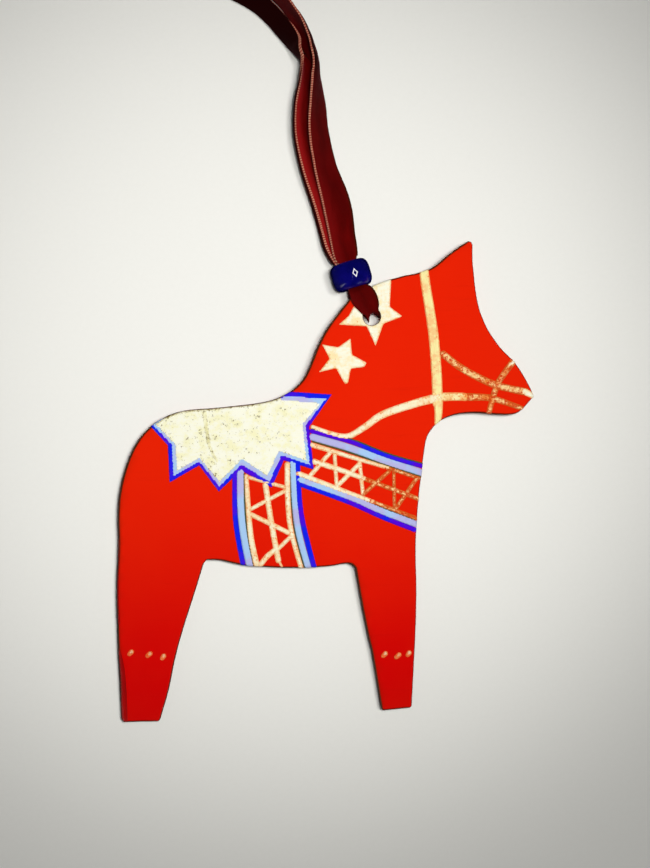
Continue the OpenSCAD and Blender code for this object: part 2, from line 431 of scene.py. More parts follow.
def curve_points(points, steps, closed=False):
    """More points along the smooth curve through the given ones, which carry any number of values each."""
    p = np.array(points, float)
    n = len(p)
    made = []
    for i in range(n if closed else n - 1):
        if closed:
            a, b, c, d = p[i - 1], p[i], p[(i + 1) % n], p[(i + 2) % n]
        else:
            a, b, c, d = p[max(i - 1, 0)], p[i], p[i + 1], p[min(i + 2, n - 1)]
        for k in range(steps):
            t = k / steps
            bend = (2 * a - 5 * b + 4 * c - d) + t * (3 * b - a - 3 * c + d)
            made.append(b + t / 2 * ((c - a) + t * bend))
    if not closed:
        made.append(p[-1])
    return np.array(made)


# ---- Ribbon ----

# The same routes as the CAD model's, in metres: x, y, z, the share of the full width that shows, and
# an angle: the loop's heading left of +Y, or the strand's roll about its own line.
LOOP = [
    (0.0063, 0.0495, 0.0052, 0.5, 17), (0.0069, 0.0475, 0.00525, 0.52, 17),
    (0.00705, 0.047, 0.0054, 0.54, 18), (0.00715, 0.0467, 0.00565, 0.57, 19),
    (0.0073, 0.04635, 0.0059, 0.58, 21),
    (0.0081, 0.0455, 0.0068, 0.82, 26), (0.00895, 0.0445, 0.00685, 0.97, 30),
    (0.00995, 0.043, 0.0068, 0.93, 30), (0.01085, 0.0412, 0.00675, 0.74, 28),
    (0.0112, 0.0405, 0.00668, 0.55, 25), (0.0113, 0.04005, 0.006, 0.48, 24),
    (0.0113, 0.03995, 0.0052, 0.48, 24), (0.0113, 0.03995, 0.0039, 0.48, 24),
    (0.0113, 0.04005, 0.0031, 0.48, 24), (0.0111, 0.04045, 0.00255, 0.54, 27),
    (0.0107, 0.0411, 0.0025, 0.7, 30), (0.0097, 0.0425, 0.00255, 0.85, 30), (0.0086, 0.0442, 0.0026, 0.9, 30),
    (0.0078, 0.0454, 0.0027, 0.75, 26), (0.00725, 0.0464, 0.00355, 0.6, 21),
    (0.00715, 0.0467, 0.00385, 0.57, 19), (0.00705, 0.047, 0.0041, 0.54, 18),
    (0.0069, 0.0475, 0.00425, 0.52, 17), (0.0063, 0.0495, 0.0043, 0.5, 17),
]
FRONT_STRAND = [
    (0.0063, 0.0495, 0.0052, 0.5, 0), (0.0055, 0.0523, 0.00525, 0.55, 0), (0.0054, 0.0527, 0.0053, 0.7, 0),
    (0.005, 0.054, 0.0052, 0.92, 0), (0.0044, 0.0575, 0.0043, 1, 5), (0.0033, 0.063, 0.0033, 1, 10),
    (0.002, 0.0685, 0.0028, 1, 18), (0, 0.076, 0.0029, 1, 30), (-0.0015, 0.084, 0.0033, 1, 41),
    (-0.0018, 0.091, 0.0035, 1, 54), (-0.00185, 0.097, 0.0039, 1, 74), (-0.0023, 0.1013, 0.0045, 1, 96),
    (-0.004, 0.106, 0.0048, 1, 110), (-0.0056, 0.1097, 0.0055, 1, 109), (-0.0079, 0.1127, 0.0059, 1, 110),
    (-0.0107, 0.1158, 0.0056, 1, 111), (-0.0154, 0.1202, 0.0047, 1, 109), (-0.0214, 0.1248, 0.0039, 1, 103),
    (-0.0286, 0.1284, 0.0033, 0.95, 98), (-0.036, 0.1306, 0.0032, 0.9, 97), (-0.044, 0.131, 0.0032, 0.7, 92),
]
BACK_STRAND = [
    (0.0063, 0.0495, 0.0043, 0.5, 0), (0.0054, 0.0523, 0.00425, 0.55, 0), (0.0052, 0.0527, 0.0042, 0.65, 0),
    (0.0044, 0.054, 0.004, 0.85, 0), (0.003, 0.0575, 0.0028, 1, 5), (0.0015, 0.063, 0.0016, 1, 10),
    (-0.0005, 0.069, 0.0017, 1, 20), (-0.0029, 0.0755, 0.0021, 1, 30), (-0.0049, 0.083, 0.0027, 1, 42),
    (-0.0053, 0.0895, 0.003, 1, 50), (-0.0046, 0.096, 0.0032, 1, 53), (-0.0049, 0.101, 0.0033, 1, 66),
    (-0.0068, 0.1034, 0.00325, 1, 100), (-0.008, 0.1054, 0.0027, 1, 132), (-0.0098, 0.1081, 0.0021, 1, 150),
    (-0.0125, 0.1113, 0.00135, 1, 165), (-0.0164, 0.115, 0.001, 1, 171), (-0.0225, 0.119, 0.0008, 1, 178),
    (-0.029, 0.1225, 0.0007, 1, 180), (-0.036, 0.1255, 0.001, 0.95, 180), (-0.044, 0.128, 0.002, 0.7, 180),
]
TAILS = [
    [(-0.05, 0.1312, 0.0026, 0.4, 0), (-0.054, 0.1325, 0.0014, 0.6, 0), (-0.059, 0.133, 0.0006, 0.9, 0),
     (-0.068, 0.1315, 0.0006, 1, 0)],
    [(-0.05, 0.1278, 0.0022, 0.4, 0), (-0.054, 0.126, 0.0011, 0.6, 0), (-0.0585, 0.124, 0.0006, 0.9, 0),
     (-0.066, 0.1215, 0.0006, 1, 0)],
]
ROUTE_STEPS = 5
ACROSS = 15                 # points across each face of the ribbon
CUP = 0.34                  # how deep the ribbon cups, for what is lost of its width
FLAT_RUN = 2.4              # how far from the bead's middle the ribbon stays flat, in millimetres
EASE_RUN = 2.5              # and how far on from there it takes its full shape


def loop_side(way, angle):
    turn = math.radians(angle)
    return np.array([math.cos(turn), math.sin(turn), 0])


def strand_side(way, angle):
    roll = math.radians(angle)
    level = unit(np.array([way[1], -way[0], 0]))
    return unit(math.cos(roll) * level - math.sin(roll) * np.cross(level, way))


def ribbon_section(width, cup):
    """The ribbon's section as (across, up, share of the width from its left edge, is it the underside)."""
    thick = RIBBON_T / 2
    points = []
    for face in (1, -1):
        for i in range(ACROSS):
            u = math.sin(math.pi / 2 * (2 * i / (ACROSS - 1) - 1)) * face
            rounded = math.sqrt(max(1 - abs(u) ** 12, 0.0)) * thick
            points.append((u * width / 2, face * rounded + cup * (u * u - 1 / 3), (u + 1) / 2, face < 0))
    # The two faces meet at both edges, so each edge point is kept once
    return points[:ACROSS] + points[ACROSS + 1:-1]


def selvage_width(roll):
    """How wide the stitched line shows, as a share of the ribbon: widest where the ribbon lies flat."""
    return 0.02 + 0.044 * max(math.cos(math.radians(roll)), 0)


def hump(run, where):
    """A smooth hump on the run: 1 at the first number of where, and 0 at the second's distance from it."""
    return max(1 - ((run - where[0]) / where[1]) ** 2, 0) ** 2


def band(name, route, side_of, material, cupped, bead_ends=0, curl=(0, 1, 0), shade=1.0, hem=0.0,
         flare=(0, 1, 0)):
    """A velvet band along the route. cupped is 1 or -1, for edges that stand up or hang down. bead_ends is
    how many of its ends lie flat in the bead. shade is how dark its underside is painted, as painted shade,
    which the loop takes on both faces. hem is how wide a strip is added along its left edge, painted near
    black as painted shade where the edge would turn down. curl and flare each give where on the run, how far
    from there and how much: the band curls over at curl, and its right edge waves outwards at flare. Where
    curl's amount is below 0, the band's top takes painted shade as it rolls."""
    rings = curve_points(route, ROUTE_STEPS)
    centres = rings[:, :3]
    run = np.concatenate([[0], np.cumsum(np.linalg.norm(np.diff(centres, axis=0), axis=1))])
    is_loop = side_of is loop_side
    vertices, weave, line, under = [], [], [], []
    for i, ring in enumerate(rings):
        way = unit(centres[min(i + 1, len(rings) - 1)] - centres[max(i - 1, 0)])
        side = side_of(way, ring[4])
        side = unit(side - way * side.dot(way))
        up = np.cross(side, way)
        share = min(ring[3], 1.0)
        level = math.cos(math.radians(ring[4]))
        into_bead = min(run[i], run[-1] - run[i]) if bead_ends == 2 else run[i]
        ease = min(max((into_bead / MM - FLAT_RUN) / EASE_RUN, 0), 1) if bead_ends else 1.0
        # The loop folds the other way where it dives through the hole
        fold = max(2.9 * abs(way[2]) - 1.1, -0.25) if is_loop else 1
        bump = hump(run[i], curl)
        cup = cupped * ease * fold * CUP * (1 - share) * RIBBON_W + curl[2] * bump
        # Painted shade: the top of a band whose curl's amount is below 0 darkens as it rolls away from the
        # light
        turned = 0.2 + 0.7 * (1 - level) if curl[2] < 0 else 0.0
        selvage = selvage_width(ring[4]) * (1 + max(curl[2] / MM, 0) * bump)
        wave = flare[2] * hump(run[i], flare)
        turn_down = hem * ease * max(level, 0) ** 2
        for u, v, part, below in ribbon_section(share * RIBBON_W, cup):
            u += wave * part ** 2 - turn_down * (1 - part) ** 2
            spot = centres[i] + u * side + v * up
            ripple = noise.noise(Vector(spot) * 420) * 0.09 * MM
            vertices.append(spot + ripple * up * ease)
            weave.append((part, run[i] / RIBBON_W))
            line.append(NO_LINE if is_loop else (part - turn_down / RIBBON_W) / selvage)
            under.append(shade if below or is_loop else turned)
    n = 2 * ACROSS - 2
    faces = [f[::-1] for f in quads(len(rings), n) + end_faces(len(rings), n)]
    thing = add_mesh(name, vertices, faces, material)
    add_weave(thing, weave)
    add_values(thing, "line", line)
    add_values(thing, "under", under)
    return thing, centres, run[-1]


def add_ribbon(velvet):
    """The loop through the hole, the two strands and what holds them."""
    bead_centre = middle_of("bead")[0]
    axis = unit(np.array(joint_record("bead_slide")["axis"], float))
    loop, _, _ = band("ribbon_loop_velvet", LOOP, loop_side, velvet, -1, 2, shade=0.35)
    front = band("ribbon_front_velvet", FRONT_STRAND, strand_side, velvet, -1, 1,
                 (57 * MM, 14 * MM, -1.6 * MM), 0.3, flare=(18.5 * MM, 10 * MM, 0.8 * MM))
    back = band("ribbon_back_velvet", BACK_STRAND, strand_side, velvet, 1, 1,
                (54.5 * MM, 11 * MM, 1.6 * MM), hem=0.65 * MM, flare=(69 * MM, 22 * MM, -1.5 * MM))
    strands = [("front", *front), ("back", *back)]
    knot = add_knot(velvet)
    tails = [band(f"ribbon_tail_{i + 1}", tail, strand_side, velvet, 1)[0] for i, tail in enumerate(TAILS)]
    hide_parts("ribbon_loop")
    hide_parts("ribbon_knot")
    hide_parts("ribbon_tails")
    for piece in (knot, *tails):
        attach(piece, "ribbon")
    for name, strand, centres, length in strands:
        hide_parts(f"ribbon_{name}_strand")
        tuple(centres[0])
        [list(map(float, c)) for c in centres]
    return loop, [s[1] for s in strands], bead_centre, axis


def add_knot(velvet):
    """An overhand knot: a puckered core with the ribbon wrapped over it in two slanting turns."""
    centre, size = middle_of("ribbon_knot")
    rows, columns = 24, 48
    vertices = []
    for i in range(rows + 1):
        t = i / rows * 2 - 1
        swell = (1 - abs(t) ** 3.2) ** 0.45 if abs(t) < 1 else 0.0
        for k in range(columns):
            angle = 2 * math.pi * k / columns
            fold = 1 - 0.07 * (0.5 + 0.5 * math.cos(3 * angle + 5 * t)) - 0.05 * abs(math.sin(4 * t + angle))
            radius = max(swell * fold, 0.02)
            spot = np.array([0.9 * t, 0.88 * radius * math.cos(angle), 0.88 * radius * math.sin(angle)])
            vertices.append(centre + size * spot)
    core = len(vertices)
    faces = quads(rows + 1, columns) + end_faces(rows + 1, columns)
    uv = [((i // columns) / rows, (i % columns) / columns * 3) for i in range(core)]
    for turn, (shift, slant) in enumerate(((-0.3, 0.34), (0.32, -0.3))):
        add_wrap(vertices, faces, uv, centre, size, shift, slant, turn)
    knot = add_mesh("ribbon_knot_velvet", vertices, faces, velvet)
    add_weave(knot, uv)
    add_values(knot, "line", [NO_LINE if i < core else u / selvage_width(0) for i, (u, _) in enumerate(uv)])
    return knot


def add_wrap(vertices, faces, uv, centre, size, shift, slant, turn):
    """One closed slanting turn of ribbon round the knot's core."""
    steps, half_wide = 48, 0.36 + 0.04 * turn
    section = [(-1, 0.86), (-0.94, 0.97), (-0.5, 1.0), (0, 1.0), (0.5, 0.99), (0.94, 0.96), (1, 0.85),
               (0, 0.7)]
    base = len(vertices)
    for k in range(steps):
        angle = 2 * math.pi * k / steps
        middle = shift + slant * math.cos(angle)
        for across, out in section:
            t = middle + across * half_wide
            reach = out * (0.99 - 0.2 * max(abs(t) - 0.35, 0))
            spot = [0.98 * min(max(t, -0.98), 0.98), reach * math.cos(angle), reach * math.sin(angle)]
            vertices.append(centre + size * np.array(spot))
            uv.append(((across + 1) / 2, 3 * k / steps))
    faces += [f[::-1] for f in quads(steps, len(section), base, closed=True)]


# ---- Bead ----

BEAD_LENGTH = 6.5 * MM
BEAD_BORE = 4.0 * MM
BEAD_ROUND = 1.5 * MM         # across the bead, and along it
BEAD_SHOULDER = 2.1 * MM
BEAD_MOUTH = 1.2 * MM


def bead_profile(radius, half):
    """The bead's section as (distance from its axis, place along it), going once round it."""
    inner = BEAD_BORE / 2
    points = []
    outer, mouth = (BEAD_ROUND, BEAD_SHOULDER), (BEAD_MOUTH, BEAD_MOUTH)
    for start, centre, size in ((0, (radius - BEAD_ROUND, half - BEAD_SHOULDER), outer),
                                (90, (inner + BEAD_MOUTH, half - BEAD_MOUTH), mouth),
                                (180, (inner + BEAD_MOUTH, BEAD_MOUTH - half), mouth),
                                (270, (radius - BEAD_ROUND, BEAD_SHOULDER - half), outer)):
        for k in range(10):
            angle = math.radians(start + 10 * k)
            points.append((centre[0] + size[0] * math.cos(angle), centre[1] + size[1] * math.sin(angle)))
    return points


def add_bead(glaze, white, centre, axis):
    """The pressed-glass bead, its outside faintly dented here and there, with a lozenge painted on it."""
    radius = middle_of("bead")[1][2]
    side = np.array([axis[1], -axis[0], 0])
    profile = bead_profile(radius, BEAD_LENGTH / 2)
    up = np.array([0, 0, 1.0])
    steps = 96
    vertices = []
    for i in range(steps):
        angle = 2 * math.pi * i / steps
        out = math.cos(angle) * side + math.sin(angle) * up
        for r, s in profile:
            soft = 0.03 * MM * noise.noise(Vector((3 * math.cos(angle), 3 * math.sin(angle), s / MM * 0.5)))
            grow = soft if r > BEAD_BORE / 2 + BEAD_MOUTH else 0.0
            vertices.append(centre + (r - max(grow, 0)) * out + s * axis)
    faces = quads(steps, len(profile), closed=True)
    bead = add_mesh("bead_glass", vertices, faces, glaze)
    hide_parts("bead")
    motif = add_motif(white, centre, axis, side, up, radius)
    for piece in (bead, motif):
        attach(piece, "bead")


def add_motif(white, centre, axis, side, up, radius):
    """A small open lozenge, wrapped on the bead's top."""
    shift, long_half, short_half, hollow = 0.9 * MM, 1.15 * MM, 0.72 * MM, 0.55
    corners = [(long_half, 0), (0, short_half), (-long_half, 0), (0, -short_half)]
    steps = 6
    ring = []
    for a, b in zip(corners, corners[1:] + corners[:1]):
        ring += [np.array(a) + (np.array(b) - np.array(a)) * k / steps for k in range(steps)]
    vertices = []
    for spot in ring:
        for share, lift in ((1.0, -0.03), (0.96, 0.04), (hollow + 0.04, 0.04), (hollow, -0.03)):
            along, angle = spot[0] * share, (spot[1] * share + shift) / radius
            out = math.cos(angle) * up + math.sin(angle) * side
            vertices.append(centre + (radius + lift * MM) * out + along * axis)
    faces = quads(len(ring), 4, closed=True)
    return add_mesh("bead_motif", vertices, faces, white, smooth=False)


# ---- Board ----

class Board:
    """The board's own plane, thickness, outline and hole, read from the CAD node."""

    def __init__(self):
        mesh = frame["nodes"]["horse_board"].data
        up = Vector((0, 0, 0))
        for face in mesh.polygons:
            if face.normal.z > 0.99:
                up += face.normal * face.area
        up.normalize()
        tilt = math.atan2(-up.y, up.z)
        foot = max(v.co.y - v.co.z / math.tan(tilt) for v in mesh.vertices)
        self.lift = (Matrix.Translation((0, foot, 0)) @ Matrix.Rotation(tilt, 4, "X")
                     @ Matrix.Translation((0, -foot, 0)))
        lower = self.lift.inverted()
        local = [lower @ v.co for v in mesh.vertices]
        self.thickness = max(p.z for p in local)
        top = [f for f in mesh.polygons if f.normal.z > 0.99 and
               all(abs(local[i].z - self.thickness) < 0.02 * MM for i in f.vertices)]
        self.outline, hole = self.rims(local, top)
        self.hole = counterclockwise(hole)
        self.back_hole_shift = -self.thickness * math.tan(tilt)

    @staticmethod
    def rims(local, top):
        """The outer edge of the face and the edge of its hole, each as an array of (x, y)."""
        def key(i):
            return round(local[i].x, 6), round(local[i].y, 6)
        follows, edges = {}, {}
        for face in top:
            ids = list(face.vertices)
            for a, b in zip(ids, ids[1:] + ids[:1]):
                edges[key(a), key(b)] = True
        for a, b in edges:
            if (b, a) not in edges:
                follows[a] = b
        loops = []
        while follows:
            start = next(iter(follows))
            loop, at = [], start
            while at in follows:
                loop.append(at)
                at = follows.pop(at)
            loops.append(np.array(loop))
        loops.sort(key=len)
        return loops[-1], loops[0]

    def place(self, points):
        """Points in the board's own plane, moved to where the board lies."""
        return [self.lift @ Vector(tuple(map(float, p))) for p in points]


def subdivide(loop, longest):
    """The closed loop with extra points, so that no side is longer than that."""
    made = []
    for a, b in zip(loop, np.roll(loop, -1, axis=0)):
        pieces = max(1, math.ceil(np.linalg.norm(b - a) / longest))
        made += [a + (b - a) * k / pieces for k in range(pieces)]
    return np.array(made)


def outward(loop):
    """The outward direction at each point of a counterclockwise loop."""
    ahead = np.roll(loop, -1, axis=0) - loop
    ahead /= np.linalg.norm(ahead, axis=1)[:, None]
    normal = np.stack([ahead[:, 1], -ahead[:, 0]], axis=1)
    both = normal + np.roll(normal, 1, axis=0)
    return both / np.linalg.norm(both, axis=1)[:, None]


def inside(points, loop):
    """Whether each point lies inside the closed loop."""
    x, y = points[:, 0][:, None], points[:, 1][:, None]
    x1, y1 = loop[:, 0], loop[:, 1]
    x2, y2 = np.roll(x1, -1), np.roll(y1, -1)
    span = np.where(np.abs(y2 - y1) < 1e-12, 1e-12, y2 - y1)
    crosses = ((y1 > y) != (y2 > y)) & (x < x1 + (y - y1) / span * (x2 - x1))
    return crosses.sum(axis=1) % 2 == 1


def nearest(points, loop):
    """The distance from each point to the closed loop, and the nearest point on it."""
    a, b = loop, np.roll(loop, -1, axis=0)
    d = b - a
    t = ((points[:, None] - a) * d).sum(-1) / np.maximum((d * d).sum(-1), 1e-16)
    spot = a + np.clip(t, 0, 1)[..., None] * d
    gap = np.linalg.norm(points[:, None] - spot, axis=-1)
    best = gap.argmin(axis=1)
    rows = np.arange(len(points))
    return gap[rows, best], spot[rows, best]


def add_board(board, material):
    """The board, with rounded painted edges that carry painted shade, a slightly wavy hand-cut outline and a
    clean drilled hole.
    """
    rim = subdivide(board.outline, 0.8 * MM)
    away = outward(rim)
    wave = np.array([noise.noise(Vector((*p, 0)) * 260) for p in rim]) * 0.07 * MM
    rim = rim + away * np.minimum(wave, 0)[:, None]
    thick = board.thickness
    # Painted shade on the rounded rim: "edge" grows as the rim turns away from the face, sooner on sides that
    # face left and down, away from the light
    shaded = np.clip(0.35 - 0.7 * away[:, 0] - 0.1 * away[:, 1], 0, 1)
    rings = []
    for k in range(6):
        angle = math.pi / 2 * k / 5
        height = thick - EDGE_ROUND * (1 - math.cos(angle))
        turned = (k / 5) ** 2.2
        shade = turned + shaded * (min(0.15 + 0.32 * k, 1) - turned)
        rings.append((EDGE_ROUND * (1 - math.sin(angle)), height, shade))
    rings.append((0.0, thick * 0.5, 1.0))
    for k in range(4):
        angle = math.pi / 2 * k / 3
        height = BACK_ROUND * (1 - math.sin(angle))
        rings.append((BACK_ROUND * (1 - math.cos(angle)), height, 1.0 - 0.7 * k / 3))
    vertices, edge = [], []
    for inset, height, shade in rings:
        vertices += [(*p, height) for p in rim - away * inset]
        edge += list(np.zeros(len(rim)) + shade)
    n = len(rim)
    faces = [f[::-1] for f in quads(len(rings), n)]
    # The hole's wall, as (how much wider, how deep) in millimetres
    deep = thick / MM
    hole_rings = [(0.25, 0.0), (0.07, 0.07), (0.0, 0.25)]
    hole_rings += [(grow, deep - depth) for grow, depth in hole_rings[::-1]]
    base, m = len(vertices), len(board.hole)
    radial = board.hole - board.hole.mean(axis=0)
    radial = radial / np.linalg.norm(radial, axis=1)[:, None]
    for grow, depth in hole_rings:
        shift = np.array([0, board.back_hole_shift * depth * MM / thick])
        vertices += [(*p, thick - depth * MM) for p in board.hole + radial * grow * MM + shift]
        # Painted shade in the hole: its wall takes the rim's painted shade tint, mixed with the cut wood, and
        # its lips a little of it
        edge += [0.15 if depth in (0.0, deep) else 0.5] * m
    faces += quads(len(hole_rings), m, base)
    walls = len(faces)
    for ring, hole_ring, turn in ((0, 0, 1), (len(rings) - 1, len(hole_rings) - 1, -1)):
        outer = [ring * n + k for k in range(n)]
        inner = [base + hole_ring * m + k for k in range(m)]
        vertices, edge, caps = cap(vertices, edge, outer, inner)
        faces += [f[::turn] for f in caps]
    thing = add_mesh("board_painted", board.place(vertices), faces, material)
    thing.data.polygons.foreach_set("use_smooth", [i < walls for i in range(len(faces))])
    add_values(thing, "edge", edge)
    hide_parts("horse_board")
    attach(thing, "horse")


def polygon_area(loop):
    x, y = loop[:, 0], loop[:, 1]
    return float((x * np.roll(y, -1) - y * np.roll(x, -1)).sum() / 2)


def counterclockwise(loop):
    return loop if polygon_area(loop) > 0 else loop[::-1]


def cap(vertices, edge, outer, inner):
    """Flat triangles between an outer ring of vertices and a hole's ring, both at one height."""
    flat = [Vector(vertices[i][:2]) for i in outer + inner]
    height = vertices[outer[0]][2]
    n = len(outer)
    rings = [list(range(n)), list(range(n, len(flat)))]
    loop = np.array([vertices[i][:2] for i in outer])
    hole = np.array([vertices[i][:2] for i in inner])
    grid = grid_points(loop, 2.5 * MM)
    keep = inside(grid, loop) & ~inside(grid, hole)
    grid = grid[keep]
    keep = (nearest(grid, loop)[0] > 0.8 * MM) & (nearest(grid, hole)[0] > 0.8 * MM)
    flat += [Vector(p) for p in grid[keep]]
    spots, _, triangles, source, _, origin = delaunay_2d_cdt(flat, [], rings, 1, 1e-9)
    ids = []
    vertices, edge = list(vertices), list(edge)
    for spot, sources in zip(spots, source):
        first = next((s for s in sources if s < n + len(inner)), None)
        if first is None:
            ids.append(len(vertices))
            vertices.append((spot.x, spot.y, height))
            edge.append(0.0)
        else:
            ids.append((outer + inner)[first])
    faces = []
    for triangle, owners in zip(triangles, origin):
        if 1 in owners or 0 not in owners:
            continue
        faces.append(tuple(ids[i] for i in triangle))
    return vertices, edge, faces


def grid_points(loop, spacing):
    """A triangular grid over the loop's box."""
    low, high = loop.min(axis=0), loop.max(axis=0)
    made = []
    rows = int((high[1] - low[1]) / (spacing * 0.866)) + 1
    for j in range(rows + 1):
        start = low[0] + (spacing / 2 if j % 2 else 0)
        for i in range(int((high[0] - low[0]) / spacing) + 2):
            made.append((start + i * spacing, low[1] + j * spacing * 0.866))
    return np.array(made)


# ---- Paint ----

# The name, the pale and the deep tint, how much is covered, the ground that shows through, the tint of
# the edge, how worn it is and how the brush's streaks lie
GOLDS = {
    "leaf": ("gold_leaf", (1.0, 1.0, 0.86), (0.96, 0.94, 0.62), 0.6, (0.16, 0.11, 0.02), (0.5, 0.42, 0.15),
             0.45),
    "crease": ("gold_leaf_crease", (0.97, 0.95, 0.66), (0.72, 0.67, 0.32), 0.56, (0.2, 0.15, 0.03),
               (0.98, 0.97, 0.75), 0.9, (2600, 400, 400)),
    "star": ("gold_paint_star", (1.0, 0.99, 0.82), (1.0, 0.84, 0.48), 0.64, (0.85, 0.3, 0.05),
             (0.95, 0.45, 0.12), 0.6),
    "gold": ("gold_paint", (1.0, 0.88, 0.46), (0.95, 0.5, 0.17), 0.56, (0.8, 0.2, 0.03), (0.85, 0.34, 0.1),
             0.8),
    "cream": ("gold_paint_cream", (1.0, 0.95, 0.7), (1.0, 0.74, 0.42), 0.6, (0.8, 0.24, 0.05),
              (0.92, 0.45, 0.18), 0.7),
    "upright_gold": ("gold_paint_upright", (1.0, 0.9, 0.42), (0.98, 0.6, 0.26), 0.62, (0.8, 0.2, 0.03),
                     (0.9, 0.36, 0.12), 0.85, (2600, 260, 400)),
    "thin_gold": ("gold_paint_thin", (1.0, 0.7, 0.32), (0.85, 0.26, 0.05), 0.49, (0.6, 0.05, 0.004),
                  (0.62, 0.12, 0.015), 0.8),
    "orange": ("orange_paint", (1.0, 0.22, 0.07), (1.0, 0.12, 0.02), 0.7, RED_DEEP, (0.6, 0.2, 0.03), 0.3),
    "dot": ("dot_paint", (1.0, 0.66, 0.44), (1.0, 0.42, 0.2), 0.7, RED_DEEP, (0.6, 0.2, 0.03), 0.15),
}
# The name and two close tints
COLOURS = {
    "shade": ("red_shade", (0.31, 0.0003, 0.0005), (0.38, 0.0003, 0.0005)),
    "seam": ("dark_seam", (0.06, 0.1, 0.04), (0.12, 0.11, 0.02)),
    "blue": ("ultramarine", (0.004, 0.014, 0.8), (0.08, 0.0, 0.68)),
    "light": ("light_blue", (0.36, 0.56, 0.86), (0.44, 0.44, 0.76)),
}


class Painter:
    """Lays raised paint on the board, which runs on over its rounded edge and stays out of its hole."""

    def __init__(self, board, finishes):
        self.board = board
        self.finishes = finishes
        self.rim = subdivide(board.outline, 1.2 * MM)
        self.away = outward(self.rim)
        self.keep_out = board.hole + outward(board.hole) * 0.12 * MM

    def drape(self, points, heights):
        """Points of the plane laid on the board and over its rounded edge, at the given heights."""
        gap, spot = nearest(points, self.rim)
        within = inside(points, self.rim)
        depth = np.where(within, gap, -gap)
        away = np.where(within[:, None], spot - points, points - spot)
        away = away / np.maximum(np.linalg.norm(away, axis=1), 1e-9)[:, None]
        past = EDGE_ROUND - depth
        angle = np.clip(past / EDGE_ROUND, 0, math.pi / 2)
        start = points - away * np.maximum(past, 0)[:, None]
        flat = start + away * ((EDGE_ROUND + heights) * np.sin(angle))[:, None]
        down = np.maximum(past - EDGE_ROUND * math.pi / 2, 0)
        height = self.board.thickness - EDGE_ROUND + (EDGE_ROUND + heights) * np.cos(angle) - down
        on_face = past <= 0
        flat[on_face] = points[on_face]
        height[on_face] = self.board.thickness + heights[on_face]
        return np.column_stack([flat, height])

    def layer(self, outline, height, spacing, seed, wrap):
        """One layer of paint: its vertices, faces and how near each vertex is to the layer's edge."""
        reach = self.rim + self.away * wrap
        loop = counterclockwise(subdivide(np.array(outline, float), 0.45 * MM))
        edge = [Vector((*p, seed * 0.01)) for p in loop]
        wave = np.array([noise.noise(p * 900) + 0.5 * noise.noise(p * 2600) for p in edge])
        loop = loop + outward(loop) * (wave * PAINT_ROUGH)[:, None]
        grid = grid_points(loop, spacing)
        grid = grid[inside(grid, loop)]
        if len(grid):
            grid = grid[nearest(grid, loop)[0] > 0.3 * spacing]
        spots = [Vector(p) for ring in (loop, reach, self.keep_out, grid) for p in ring]
        rings, start = [], 0
        for ring in (loop, reach, self.keep_out):
            rings.append(list(range(start, start + len(ring))))
            start += len(ring)
        found, _, triangles, _, _, origin = delaunay_2d_cdt(spots, [], rings, 1, 1e-9)
        kept = [t for t, owners in zip(triangles, origin) if 0 in owners and 1 in owners and 2 not in owners]
        used = sorted({i for t in kept for i in t})
        if not used:
            return [], [], []
        number = {old: new for new, old in enumerate(used)}
        points = np.array([found[i] for i in used])
        gap, _ = nearest(points, loop)
        rise = np.clip(gap / (0.28 * MM), 0, 1)
        streak = np.array([0.85 + 0.3 * noise.noise(Vector((*p, 0)) * 1500) for p in points])
        top = self.drape(points, height * np.sqrt(1 - (1 - rise) ** 2) * streak + 0.012 * MM)
        root = self.drape(points, np.full(len(points), -PAINT_ROOT))
        n = len(used)
        faces = [tuple(number[i] for i in t) for t in kept]
        border = {}
        for a, b, c in faces:
            for pair in ((a, b), (b, c), (c, a)):
                border[pair] = True
        walls = [(b, a, a + n, b + n) for a, b in border if (b, a) not in border]
        under = [(c + n, b + n, a + n) for a, b, c in faces]
        if wrap < 0:
            gap = np.minimum(gap, nearest(points, reach)[0])
        rim = 1 - np.clip(gap / (0.6 * MM), 0, 1)
        return [*top, *root], faces + under + walls, [*rim, *rim]

    def paint(self, name, outlines, height, finish, spacing=0.45, wrap=PAINT_WRAP):
        """One painted piece out of one or more outlines, each a list of (x, y) in metres on the board's
        plane. height and spacing are in millimetres, and finish is the name of its finish."""
        vertices, faces, rim = [], [], []
        for seed, outline in enumerate(outlines):
            lift = height * MM + 0.003 * MM * (seed % 4)
            made, sides, near = self.layer(outline, lift, spacing * MM, seed, wrap)
            base = len(vertices)
            vertices += made
            faces += [tuple(i + base for i in side) for side in sides]
            rim += near
        thing = add_mesh(name, self.board.place(vertices), faces, self.finishes[finish])
        add_values(thing, "rim", rim)
        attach(thing, "horse")

    def brush(self, name, strokes, height, finish, spacing=0.45):
        """One painted piece out of brush strokes, each with its points in millimetres and its width."""
        self.paint(name, [stroke(*one) for one in strokes], height, finish, spacing)


def millimetres(points):
    return [tuple(c * MM for c in p) for p in points]


